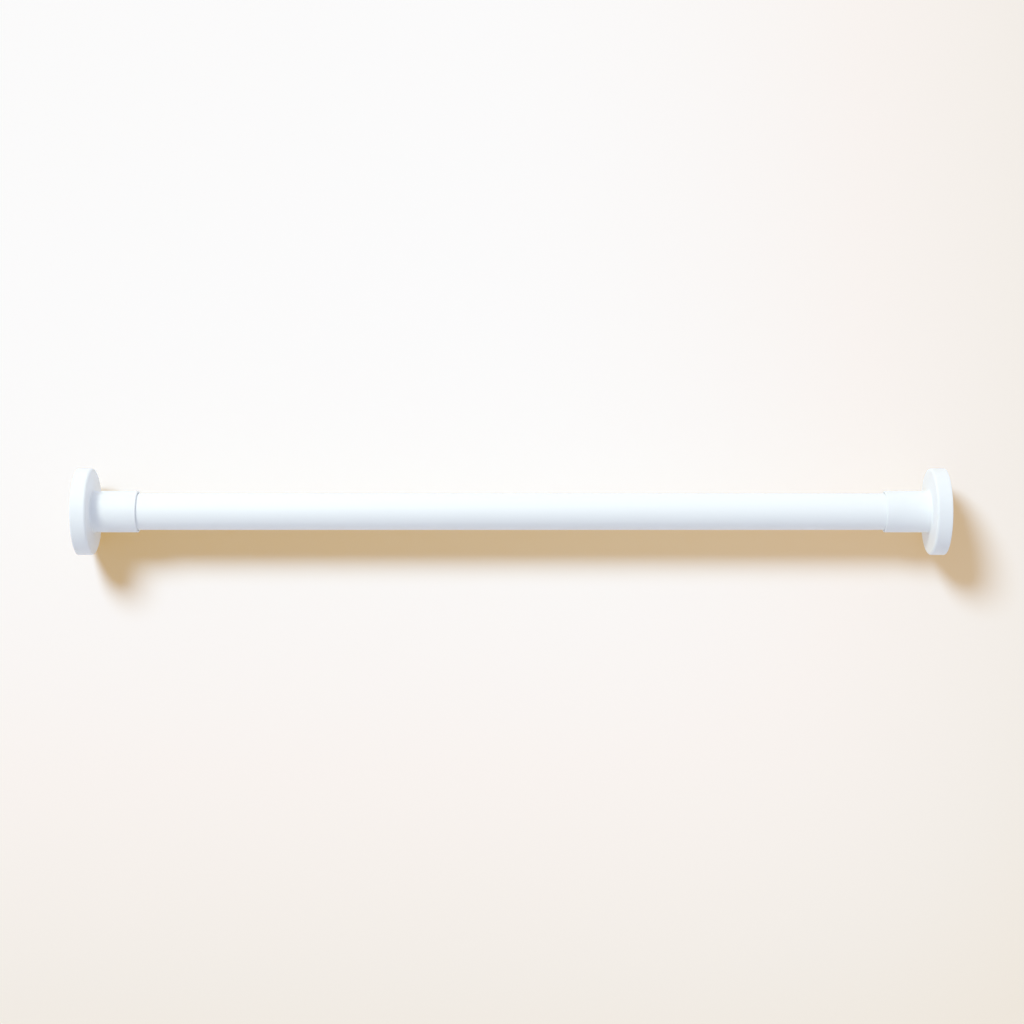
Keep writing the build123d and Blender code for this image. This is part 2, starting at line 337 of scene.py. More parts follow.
def satin_moulding(finishes):
    """Moulded white plastic: a satin face with the fine even spark texture of its mould, into which light
    goes a little way."""
    material, tree, shader, place = new_finish(
        "satin_moulding", roughness=0.56, Subsurface_Weight=0.04, Subsurface_Radius=(1.0, 0.9, 0.8),
        Subsurface_Scale=0.6 * MM)
    colour = finishes.white_moulding
    vary_colour(tree, shader, grain(tree, place, 14 * MM), low=tinted(colour, 0.985), high=colour)
    vary_roughness(tree, shader, grain(tree, place, 3 * MM), low=0.53, high=0.6)
    relief(tree, shader, [(grain(tree, place, finishes.spark_size, detail=3.0), finishes.spark_depth)])
    return material


def grip_rubber(finishes):
    """Soft matt pad: pale moulded rubber with a fine stipple and a faint bloom."""
    material, tree, shader, place = new_finish("grip_rubber", roughness=0.8, Sheen_Weight=0.15)
    colour = finishes.grip_pad
    bloom = grain(tree, place, 5 * MM, detail=4.0)
    vary_colour(tree, shader, bloom, low=tinted(colour, 0.94), high=colour)
    vary_roughness(tree, shader, bloom, low=0.74, high=0.86)
    relief(tree, shader, [(grain(tree, place, 0.3 * MM, detail=3.0), 0.012 * MM)])
    return material


def zinc_plate(finishes):
    """Bright zinc plate: a cool metal with cloudy roughness and a faint blue and straw passivation."""
    material, tree, shader, place = new_finish("zinc_plate", roughness=0.3, metallic=1.0)
    blue = finishes.zinc_steel
    straw = (blue[0] * 1.02, blue[1] * 0.99, blue[2] * 0.92)
    cloud = grain(tree, place, 1.6 * MM, detail=4.0)
    vary_colour(tree, shader, cloud, low=straw, high=blue, spread=(0.35, 0.6))
    vary_roughness(tree, shader, grain(tree, place, 0.5 * MM, detail=4.0), low=0.22, high=0.4)
    relief(tree, shader, [(grain(tree, place, 0.12 * MM), 0.0015 * MM)])
    return material


def turned_steel(finishes):
    """Turned steel: fine feed rings across the axis, lightly oiled."""
    material, tree, shader, place = new_finish("turned_steel", roughness=0.3, metallic=1.0)
    colour = finishes.turned_steel
    wave = {"Vector": place, "Scale": WAVE_PERIOD / FEED, "Distortion": 0.6, "Detail": 1.0}
    rings = add_node(tree, "ShaderNodeTexWave", wave, bands_direction="X")
    streak = grain(tree, place, 0.4 * MM, detail=3.0, stretch=(0.2, 6.0, 6.0))
    vary_colour(tree, shader, streak, low=tinted(colour, 0.86), high=colour)
    vary_roughness(tree, shader, streak, low=0.26, high=0.4)
    relief(tree, shader, [(rings.outputs["Fac"], 0.0025 * MM)])
    return material


def drawn_wire(finishes):
    """Oil-tempered spring wire: dark grey steel with a mottled scale and fine draw marks."""
    material, tree, shader, place = new_finish("drawn_wire", roughness=0.4, metallic=1.0)
    colour = finishes.spring_steel
    scale = grain(tree, place, 0.9 * MM, detail=4.0)
    vary_colour(tree, shader, scale, low=tinted(colour, 0.7), high=colour, spread=(0.35, 0.65))
    vary_roughness(tree, shader, scale, low=0.5, high=0.34)
    relief(tree, shader, [(grain(tree, place, 0.15 * MM, detail=3.0), 0.002 * MM)])
    return material


def natural_nylon(finishes):
    """Natural nylon: creamy, slightly see-into plastic with a waxy face."""
    material, tree, shader, place = new_finish(
        "natural_nylon", roughness=0.42, Subsurface_Weight=0.2, Subsurface_Radius=(1.0, 0.8, 0.6),
        Subsurface_Scale=1.2 * MM)
    colour = finishes.nylon
    flow = grain(tree, place, 4 * MM, detail=3.0)
    vary_colour(tree, shader, flow, low=tinted(colour, 0.95), high=colour)
    vary_roughness(tree, shader, flow, low=0.36, high=0.5)
    relief(tree, shader, [(grain(tree, place, 0.5 * MM, detail=3.0), 0.003 * MM)])
    return material


def filled_nylon(finishes):
    """Dark glass-filled nylon: short pale fibres float in the face, which is dull and slightly rough."""
    material, tree, shader, place = new_finish("filled_nylon", roughness=0.55)
    colour = finishes.moulded_plug
    fibre = grain(tree, place, 0.12 * MM, stretch=(5.0, 1.0, 1.0))
    vary_colour(tree, shader, fibre, low=colour, high=tinted(colour, 1.9), spread=(0.6, 0.75))
    vary_roughness(tree, shader, fibre, low=0.6, high=0.48)
    relief(tree, shader, [(fibre, 0.003 * MM), (grain(tree, place, 1.5 * MM), 0.004 * MM)])
    return material


FINISH_MAKERS = {
    "white_paint": powder_coat,
    "white_moulding": satin_moulding,
    "grip_pad": grip_rubber,
    "zinc_steel": zinc_plate,
    "turned_steel": turned_steel,
    "spring_steel": drawn_wire,
    "nylon": natural_nylon,
    "moulded_plug": filled_nylon,
}


def finish_of(slot):
    """The material for one of the record's slots, made once."""
    maker = FINISH_MAKERS[slot]
    return bpy.data.materials.get(maker.__name__) or maker(bpy.context.scene.rod_finishes)


# Tubes
# From the outer tube's ends to the beads that hold the spring cup and the mouth bush
CUP_BEAD_INSET = 8.0 * MM
BUSH_BEAD_INSET = 10.0 * MM
PLAIN_ROWS = 64
BEAD_ROWS = 17


def tube_surface(rod, node, beads):
    """A drawn tube. Its outline runs along the outside, over a softened end, back along the bore and over the
    other end, and each bead is a cosine dip in both walls."""
    start, end, radius = extent(node)
    bore = radius - rod.tube_wall
    corners = [(end, radius), (end, bore), (start, bore), (start, radius)]
    ends = evenly_rounded(corners, rod.tube_edge).reshape(4, -1, 2)
    beads = np.array(beads)
    plain = np.linspace(start + 2 * rod.tube_edge, end - 2 * rod.tube_edge, PLAIN_ROWS)
    plain = plain[np.abs(plain[:, None] - beads).min(axis=1) > rod.bead_width]
    fine = (beads[:, None] + np.linspace(-0.5, 0.5, BEAD_ROWS) * rod.bead_width).ravel()
    along = np.sort(np.concatenate([plain, fine]))
    dips = dip(along[:, None], beads, rod.bead_width, rod.bead_depth).sum(axis=1)
    outside = np.stack([along, radius - dips], axis=1)
    inside = np.stack([along, bore - dips], axis=1)[::-1]
    outline = np.concatenate([outside, ends[0], ends[1], inside, ends[2], ends[3]])
    return woven(turned(outline), close_rows=True)


# Feet
# Rounding of edges that face the wall or stay hidden, and the radius of the holes for the screws
BACK_RADIUS = 0.5 * MM
SCREW_HOLE = 2.15 * MM
# Columns on a rib and on a pocket between two ribs, and rows down a rib's side
RIB_COLUMNS = 2
POCKET_COLUMNS = 16
RIB_SIDE_ROWS = 4
POCKET_STEP = 1.5 * MM
# Rows on the corners that show, and on those in the pockets
FACE_CORNER_ROWS = 11
POCKET_CORNER_ROWS = 5


def foot_sizes(rod, side):
    """The places of one foot, measured from its wall: pad face, flange back, plate back and front, collar
    mouth, and the radii of the flange, its rim bore and the collar."""
    on_left = side == "left"
    start, end, radius = extent(f"{side}_flange")
    pad_start, pad_end, pad_radius = extent(f"{side}_pad")
    wall = pad_start if on_left else pad_end
    flange_back, collar_reach = sorted((abs(start - wall), abs(end - wall)))
    plate_front = min(abs(face - wall) for face in extent("plunger_rod" if on_left else "right_plug")[:2])
    collar_bore = extent("outer_tube")[2] + rod.collar_gap
    return SimpleNamespace(
        wall=wall,
        inward=1.0 if on_left else -1.0,
        pad_depth=pad_end - pad_start,
        pad_radius=pad_radius,
        flange_back=flange_back,
        plate_back=plate_front - rod.flange_plate,
        plate_front=plate_front,
        collar_reach=collar_reach,
        radius=radius,
        rim_bore=radius - rod.rim_wall,
        collar_bore=collar_bore,
        collar_radius=collar_bore + rod.collar_wall,
    )


def rib_angles(rod, foot, radius):
    """The columns' angles at each radius. Each sector has a rib, whose sides stay half its thickness from its
    middle plane, so they are at the arcsine of that half over the radius, and a pocket that takes the rest
    evenly."""
    radius = np.clip(radius, foot.collar_radius, foot.rim_bore)
    sector = 2 * np.pi / rod.rib_count
    half = np.arcsin(rod.rib_thickness / 2 / radius)[:, None]
    on_rib = np.linspace(-1, 1, RIB_COLUMNS + 1)[:-1] * half
    in_pocket = half + np.linspace(0, 1, POCKET_COLUMNS + 1)[:-1] * (sector - 2 * half)
    one = np.concatenate([on_rib, in_pocket], axis=1)
    ribs = np.arange(rod.rib_count)[:, None] * sector
    return (one[:, None, :] + ribs).reshape(len(radius), -1)


def flange_surface(rod, foot):
    """The flange disc and its collar. The outside is an outline turned from the ribs' outer ends, over the
    rim, down the face, along the collar and back through its bore to the ribs' inner ends. Between those two
    rings the back is rib tops, pockets that go down to the plate, and the ribs' sides, all on the same
    columns."""
    outline = [
        (foot.pad_depth, foot.rim_bore, 0),
        (foot.flange_back, foot.rim_bore, rod.soft_edge),
        (foot.flange_back, foot.radius, BACK_RADIUS),
        (foot.plate_front, foot.radius, rod.edge_radius),
        (foot.plate_front, foot.collar_radius, rod.collar_foot_radius),
        (foot.collar_reach, foot.collar_radius, rod.collar_lip_radius),
        (foot.collar_reach, foot.collar_bore, rod.collar_lip_radius),
        (foot.plate_front, foot.collar_bore, rod.moulded_edge),
        (foot.plate_front, SCREW_HOLE, rod.soft_edge),
        (foot.plate_back, SCREW_HOLE, rod.soft_edge),
        (foot.plate_back, foot.collar_bore, rod.moulded_edge),
        (foot.pad_depth, foot.collar_bore, rod.soft_edge),
        (foot.pad_depth, foot.collar_radius, 0),
    ]
    outside = spaced(rounded(outline, closed=False, rows=FACE_CORNER_ROWS), BROAD_STEP, closed=False)
    pocket = [
        (foot.pad_depth, foot.collar_radius),
        (foot.plate_back, foot.collar_radius),
        (foot.plate_back, foot.rim_bore),
        (foot.pad_depth, foot.rim_bore),
    ]
    pocket = evenly_rounded(pocket, 2 * rod.moulded_edge, closed=False, rows=POCKET_CORNER_ROWS)
    pocket = spaced(pocket, POCKET_STEP, closed=False)
    tops = np.linspace(outline[-1][:2], outline[0][:2], len(pocket))

    def placed(points):
        """Points of an outline carried round the ribs' columns, at the foot's own wall."""
        grid = ringed(points[:, 0], points[:, 1], rib_angles(rod, foot, points[:, 1]))
        grid[..., 0] = foot.wall + foot.inward * grid[..., 0]
        return grid

    top_grid, pocket_grid = placed(tops), placed(pocket)
    per_sector = RIB_COLUMNS + POCKET_COLUMNS
    down_side = np.linspace(0, 1, RIB_SIDE_ROWS)[:, None]
    surfaces = [woven(placed(outside))]
    for rib in range(rod.rib_count):
        left = rib * per_sector
        right = left + RIB_COLUMNS
        over_pocket = np.arange(right, left + per_sector + 1) % (rod.rib_count * per_sector)
        surfaces.append(woven(top_grid[:, left:right + 1], close_columns=False))
        surfaces.append(woven(pocket_grid[:, over_pocket], close_columns=False))
        for side, near, far in ((right, top_grid, pocket_grid), (left, pocket_grid, top_grid)):
            strip = near[:, None, side] + down_side * (far[:, side] - near[:, side])[:, None]
            surfaces.append(woven(strip, close_columns=False))
    return joined(surfaces)


# Wall pad
PAD_EDGE = 0.5 * MM
# The radius of the plain middle, and how much narrower a groove is at its bottom on each side
PAD_CENTRE = 8.0 * MM
GROOVE_TAPER = 0.3 * MM
PAD_CORNER_ROWS = 6
PAD_STEP = 2.0 * MM


def pad_surface(rod, foot):
    """The wall pad: a disc whose face has ring grooves with sloping sides, turned from its outline."""
    depth, radius = foot.pad_depth, foot.pad_radius
    pitch = (radius - PAD_CENTRE) / rod.groove_count
    middles = PAD_CENTRE + (np.arange(rod.groove_count) + 0.5) * pitch
    across = np.array([-0.5, -0.5, 0.5, 0.5]) * rod.groove_width + np.array([0, 1, -1, 0]) * GROOVE_TAPER
    down = np.array([0, 1, 1, 0]) * rod.groove_depth
    grooves = np.stack(np.broadcast_arrays(down, middles[:, None] + across, rod.soft_edge), axis=-1)
    rim = [(0, radius, PAD_EDGE), (depth, radius, rod.soft_edge), (depth, 0, 0)]
    outline = rounded([(0, 0, 0), *grooves.reshape(-1, 3), *rim], closed=False, rows=PAD_CORNER_ROWS)
    grid = turned(spaced(outline, PAD_STEP, closed=False)[1:-1])
    grid[..., 0] = foot.wall + foot.inward * grid[..., 0]
    return woven(grid, capped=True)


# Screws and washers
HEAD_HEIGHT = 2.2 * MM
HEAD_CORNER = 1.2 * MM
SCREW_POINT = 0.5 * MM
SCREW_COLUMNS = 48
THREAD_ROWS = 10
WASHER_CORNER_ROWS = 5
# How steep the thread's flanks are beside a plain triangle wave, and how far its crest is cut flat
FLANK_SLOPE = 1.15
CREST_CUT = 0.07
# Half an arm's width over its reach, and how much an arm's length and width shrink towards the bottom
RECESS_ARM_SHARE = np.tan(np.radians(15))
REACH_TAPER = 0.55
ARM_TAPER = 0.35
RECESS_ROWS = 5


def cross_radius(rod, angles, share):
    """The outline of a cross recess, seen from its middle: the nearer of an arm's end and an arm's side, at
    the angle from the nearest arm, shrunk by share towards the bottom."""
    from_arm = np.abs((angles + np.pi / 4) % (np.pi / 2) - np.pi / 4)
    end = rod.recess_reach * (1 - REACH_TAPER * share) / np.cos(from_arm)
    half_width = rod.recess_reach * RECESS_ARM_SHARE * (1 - ARM_TAPER * share)
    return np.minimum(end, half_width / np.maximum(np.sin(from_arm), LEAST_DIVISOR))


def screw_surface(rod, node, head_first):
    """A pan-head screw with a tapered cross recess. The thread's radius is the full one, less a blunt
    triangle wave of the distance along the screw minus one pitch a turn, which fades out under the head and
    at the point."""
    start, end, head_radius = extent(node)
    length = end - start
    angles = round_angles(SCREW_COLUMNS)
    share = np.linspace(1, 0, RECESS_ROWS)[:, None]
    head = rounded([
        (0, 0, 0),
        (0, head_radius, HEAD_CORNER),
        (HEAD_HEIGHT, head_radius, rod.soft_edge),
        (HEAD_HEIGHT, rod.screw_radius, 0),
    ], closed=False)[1:]
    row_step = rod.thread_pitch / THREAD_ROWS
    along = np.arange(HEAD_HEIGHT + row_step, length, row_step)[:, None]
    phase = (along / rod.thread_pitch - angles / (2 * np.pi)) % 1
    wave = np.clip(FLANK_SLOPE * np.abs(2 * phase - 1) - CREST_CUT, 0, 1)
    fade_in, fade_out = (
        np.clip(distance / rod.thread_pitch, 0, 1) for distance in (along - HEAD_HEIGHT, length - along))
    point = np.clip((along - length + SCREW_POINT) / SCREW_POINT, 0, 1) * SCREW_POINT
    thread = rod.screw_radius - np.maximum(rod.thread_depth * wave * fade_in * fade_out, point)
    x = np.concatenate([rod.recess_depth * share[:, 0], head[:, 0], along[:, 0], [length]])
    radius = np.concatenate([
        cross_radius(rod, angles, share),
        np.repeat(head[:, 1:], SCREW_COLUMNS, axis=1),
        thread,
        np.full((1, SCREW_COLUMNS), rod.screw_radius - SCREW_POINT),
    ])
    x = start + x if head_first else end - x
    return woven(ringed(x, radius, angles, middle_height(node)), capped=True)


def washer_surface(rod, node, hole):
    """A flat ring with softened edges, turned from its outline about its own axis."""
    start, end, radius = extent(node)
    outline = [(start, hole), (start, radius), (end, radius), (end, hole)]
    outline = evenly_rounded(outline, rod.soft_edge, rows=WASHER_CORNER_ROWS)
    return woven(turned(outline, height=middle_height(node)), close_rows=True)


# Plunger rod, spring, cup, bush and plugs
ROD_CHAMFER = 0.5 * MM
ROD_CORNER_ROWS = 3
# The radius of a tapped hole, its depth from a wall's side, and its depth from the inside
TAPPED_HOLE = 2.03 * MM
REAR_HOLE_DEPTH = 10.7 * MM
FRONT_HOLE_DEPTH = 12.8 * MM
# Room where one piece runs on another, where one is pressed in, and round a bead in a groove
RUNNING_GAP = 0.1 * MM
SEAT_GAP = 0.03 * MM
BEAD_GAP = 0.05 * MM
CUP_WALL = 1.5 * MM
CUP_FLOOR = 4.0 * MM
PLUG_WALL = 3.5 * MM
FOOT_PLUG_FLOOR = 16.0 * MM
# Rows on each turn of the spring, and columns round its wire
SPRING_ROWS = 64
WIRE_COLUMNS = 20


def plunger_surface(rod):
    """The plunger rod: a bar with chamfered ends and a tapped hole in each, turned from one hole's bottom to
    the other's."""
    start, end, radius = extent("plunger_rod")
    outline = [
        (start + REAR_HOLE_DEPTH, 0),
        (start + REAR_HOLE_DEPTH, TAPPED_HOLE),
        (start + rod.soft_edge, TAPPED_HOLE),
        (start, TAPPED_HOLE + rod.soft_edge),
        (start, radius - ROD_CHAMFER),
        (start + ROD_CHAMFER, radius),
        (end - ROD_CHAMFER, radius),
        (end, radius - ROD_CHAMFER),
        (end, TAPPED_HOLE + rod.soft_edge),
        (end - rod.soft_edge, TAPPED_HOLE),
        (end - FRONT_HOLE_DEPTH, TAPPED_HOLE),
        (end - FRONT_HOLE_DEPTH, 0),
    ]
    outline = evenly_rounded(outline, rod.soft_edge / 4, closed=False, rows=ROD_CORNER_ROWS)
    return woven(turned(spaced(outline, BROAD_STEP, closed=False)[1:-1], ROD_COLUMNS), capped=True)


def spring_surface(rod):
    """The foot spring: a circle of wire carried along a helix, in the plane of the helix's outward and
    binormal directions, with what passes the end planes pressed flat on them as if ground off."""
    start, end, outer = extent("foot_spring")
    radius = outer - rod.spring_wire / 2
    turn = np.linspace(0, 2 * np.pi * rod.spring_turns, SPRING_ROWS * rod.spring_turns + 1)[:, None]
    share = turn / turn[-1]
    outward = np.concatenate([0 * turn, np.cos(turn), np.sin(turn)], axis=1)
    centre = radius * outward
    centre[:, :1] = start + share * (end - start)
    climb = (end - start) / turn[-1]
    forward = unit(np.concatenate([climb + 0 * turn, -radius * np.sin(turn), radius * np.cos(turn)], axis=1))
    binormal = np.cross(forward, outward)
    around = round_angles(WIRE_COLUMNS)[:, None]
    wire = rod.spring_wire / 2 * (np.cos(around) * outward[:, None] + np.sin(around) * binormal[:, None])
    grid = centre[:, None] + wire
    grid[..., 0] = np.clip(grid[..., 0], start, end)
    return woven(grid, capped=True)


def grooved(rod, outline, bead, seat):
    """An outline with a groove for a rolled bead in the wall that lies at the radius of its seat."""
    on_wall = np.abs(outline[:, 1] - seat) < SAME_POINT
    groove = dip(outline[:, 0], bead, rod.bead_width + 2 * BEAD_GAP, rod.bead_depth + BEAD_GAP)
    return np.stack([outline[:, 0], outline[:, 1] - on_wall * groove], axis=1)


def cup_surface(rod):
    """The spring cup: a moulded plug with a lip on the tube's end and a floor bored for the plunger rod."""
    start, end, radius = extent("spring_cup")
    tube_start, _, tube_radius = extent("outer_tube")
    seat = tube_radius - rod.tube_wall - SEAT_GAP
    bore = seat - CUP_WALL
    hole = extent("plunger_rod")[2] + RUNNING_GAP
    outline = [
        (start, bore, BACK_RADIUS),
        (start, radius, BACK_RADIUS),
        (tube_start, radius, rod.soft_edge),
        (tube_start, seat, rod.soft_edge),
        (end, seat, BACK_RADIUS),
        (end, hole, rod.moulded_edge),
        (end - CUP_FLOOR, hole, rod.moulded_edge),
        (end - CUP_FLOOR, bore, BACK_RADIUS),
    ]
    outline = grooved(rod, spaced(rounded(outline), FINE_STEP), tube_start + CUP_BEAD_INSET, seat)
    return woven(turned(outline, PLUG_COLUMNS), close_rows=True)


def bush_surface(rod):
    """The mouth bush: a thin nylon sleeve in the tube's mouth with a lip that covers the tube's end."""
    start, end, radius = extent("mouth_bush")
    _, tube_end, tube_radius = extent("outer_tube")
    bore = extent("inner_tube")[2] + RUNNING_GAP
    seat = tube_radius - rod.tube_wall - RUNNING_GAP
    lip = tube_end + RUNNING_GAP
    outline = [
        (start, bore, rod.soft_edge),
        (start, seat, rod.moulded_edge),
        (lip, seat, rod.soft_edge / 4),
        (lip, radius, rod.soft_edge),
        (end, radius, rod.moulded_edge),
        (end, bore, rod.moulded_edge),
    ]
    outline = grooved(rod, spaced(rounded(outline), FINE_STEP), tube_end - BUSH_BEAD_INSET, seat)
    return woven(turned(outline), close_rows=True)


def foot_plug_surface(rod):
    """The foot plug: a lipped plug, hollow from the tube's side and tapped from the wall's side."""
    start, end, radius = extent("right_plug")
    _, tube_end, tube_radius = extent("inner_tube")
    seat = tube_radius - rod.tube_wall - SEAT_GAP
    outline = [
        (end - FOOT_PLUG_FLOOR, 0, 0),
        (end - FOOT_PLUG_FLOOR, seat - PLUG_WALL, BACK_RADIUS),
        (start, seat - PLUG_WALL, rod.moulded_edge),
        (start, seat, rod.moulded_edge),
        (tube_end, seat, rod.soft_edge),
        (tube_end, radius, rod.soft_edge),
        (end, radius, rod.moulded_edge),
        (end, TAPPED_HOLE, rod.soft_edge),
        (end - REAR_HOLE_DEPTH, TAPPED_HOLE, rod.soft_edge),
        (end - REAR_HOLE_DEPTH, 0, 0),
    ]
    outline = spaced(rounded(outline, closed=False), FINE_STEP, closed=False)
    outline = grooved(rod, outline, (start + tube_end) / 2, seat)[1:-1]
    return woven(turned(outline, PLUG_COLUMNS), capped=True)


# Twist lock
JOURNAL_LENGTH = 22.0 * MM
JOURNAL_COLUMNS = 144
# The round row on the journal's end face, between its hole and its outline
FACE_ROW = TAPPED_HOLE + 2.0 * MM
PLUG_FLOOR = 6.0 * MM
# The cam ring's chamfer along the rod and as a share of its wall, its sections, and the room by the key
CAM_EDGE = 0.3 * MM
CAM_CHAMFER = 0.07
CAM_ROWS = 481
SLIT_GAP = 0.3 * MM


def journal_outline(rod, angles):
    """The journal's outline seen from its own axis: a circle, with a key whose top is level and whose sides
    are upright."""
    from_top = np.abs((angles + np.pi) % (2 * np.pi) - np.pi)
    top = (rod.journal_radius + rod.key_height) / np.maximum(np.cos(from_top), LEAST_DIVISOR)
    side = rod.key_width / 2 / np.maximum(np.sin(from_top), LEAST_DIVISOR)
    key = np.where(from_top < np.pi / 2, np.minimum(top, side), 0)
    return np.maximum(key, rod.journal_radius)


def lock_plug_surface(rod):
    """The lock plug. Its rows run from the bottom of the tapped hole, over the off-centre journal with its
    key, out across the shoulder, along the plug with its bead groove and into the hollow behind. The rows'
    centres step from the journal's axis to the rod's on the shoulder's face."""
    start, end, radius = extent("lock_plug")
    tube_start = extent("inner_tube")[0]
    seat = radius - rod.tube_wall - SEAT_GAP
    shoulder = start + JOURNAL_LENGTH
    corner = np.arctan(rod.key_width / 2 / (rod.journal_radius + rod.key_height))
    foot = np.arcsin(rod.key_width / 2 / rod.journal_radius)
    key_angles = [corner, foot, 2 * np.pi - corner, 2 * np.pi - foot]
    angles = np.unique(np.concatenate([round_angles(JOURNAL_COLUMNS), key_angles]))
    ring = np.ones_like(angles)
    journal = journal_outline(rod, angles)
    on_journal = [
        (start + FRONT_HOLE_DEPTH, TAPPED_HOLE * ring),
        (start + rod.soft_edge, TAPPED_HOLE * ring),
        (start, (TAPPED_HOLE + rod.soft_edge) * ring),
        (start, FACE_ROW * ring),
        (start, journal - rod.moulded_edge),
        (start + rod.moulded_edge, journal),
        (start + JOURNAL_LENGTH / 2, journal),
        (shoulder, journal),
    ]
    body = [
        (shoulder, radius, 0),
        (tube_start, radius, rod.soft_edge),
        (tube_start, seat, rod.soft_edge),
        (end, seat, rod.moulded_edge),
        (end, seat - PLUG_WALL, rod.moulded_edge),
        (tube_start + PLUG_FLOOR, seat - PLUG_WALL, BACK_RADIUS),
        (tube_start + PLUG_FLOOR, 0, 0),
    ]
    body = spaced(rounded(body, closed=False), FINE_STEP, closed=False)
    body = grooved(rod, body, (tube_start + end) / 2, seat)[:-1]
    # The shoulder's outer edge has a small chamfer
    body[0, 1] -= rod.soft_edge
    body = np.insert(body, 1, (shoulder + rod.soft_edge, radius), axis=0)
    x = np.concatenate([[place for place, _ in on_journal], body[:, 0]])
    rings = np.concatenate([[outline for _, outline in on_journal], body[:, 1:] * ring])
    height = np.concatenate([np.full(len(on_journal), rod.journal_offset), np.zeros(len(body))])
    return woven(ringed(x, rings, angles, height), capped=True)


def line_meets_circle(point, direction, centre, radius):
    """Where a ray from a point crosses a circle from the inside."""
    away = point - centre
    along = away @ direction
    return point + direction * (np.sqrt(along ** 2 - away @ away + radius ** 2) - along)


def angles_between(first, last, centre, share):
    """Angles about a centre, from straight up, that run from one point's to another's by their share."""
    start, end = (np.arctan2(*(point - centre)) % (2 * np.pi) for point in (first, last))
    return start + share * (end - start)


def cam_ring_surface(rod):
    """The cam ring: a chamfered section carried round a C. A point of the C is a mix of the bore, a circle
    about the journal's axis, and the outside, a circle about the rod's axis that dips by a half-round at each
    groove. Its two ends lie on the faces of the slit, one upright and one tilted by the ring's own turn."""
    start, end, radius = extent("cam_ring")
    bore = rod.journal_radius + RUNNING_GAP
    rod_axis, journal_axis = np.zeros(2), np.array([0, rod.journal_offset])
    half = rod.key_width / 2 + SLIT_GAP
    swing = joint_range("cam_turn")
    upright, tilted = np.array([0, 1.0]), np.array([np.sin(swing), np.cos(swing)])
    faces = (
        (journal_axis + half * np.array([tilted[1], -tilted[0]]), tilted),
        (journal_axis - half * np.array([upright[1], -upright[0]]), upright),
    )
    share = np.linspace(0, 1, CAM_ROWS)[:, None]
    inner, outer = (
        angles_between(*(line_meets_circle(*face, centre, reach) for face in faces), centre, share)
        for centre, reach in ((journal_axis, bore), (rod_axis, radius))
    )
    pitch = 2 * np.pi / rod.cam_groove_count
    from_groove = radius * ((outer % pitch) - pitch / 2)
    grooved_radius = radius - np.sqrt(np.maximum(rod.cam_groove_radius ** 2 - from_groove ** 2, 0))
    inside = journal_axis + bore * np.concatenate([np.sin(inner), np.cos(inner)], axis=1)
    outside = grooved_radius * np.concatenate([np.sin(outer), np.cos(outer)], axis=1)
    mix = np.array([0, CAM_CHAMFER, 1 - CAM_CHAMFER, 1, 1, 1 - CAM_CHAMFER, CAM_CHAMFER, 0])[:, None]
    x = np.array([start + CAM_EDGE, start, start, start + CAM_EDGE, end - CAM_EDGE, end, end, end - CAM_EDGE])
    across = inside[:, None] + mix * (outside - inside)[:, None]
    grid = np.concatenate([np.broadcast_to(x[:, None], (len(share), len(x), 1)), across], axis=2)
    return woven(grid, capped=True)


# Settings
# What the lengths among them share, and what the colours share
LENGTH = {"unit": "LENGTH", "min": 0, "precision": 5}
COLOUR = {"subtype": "COLOR", "min": 0, "max": 1}


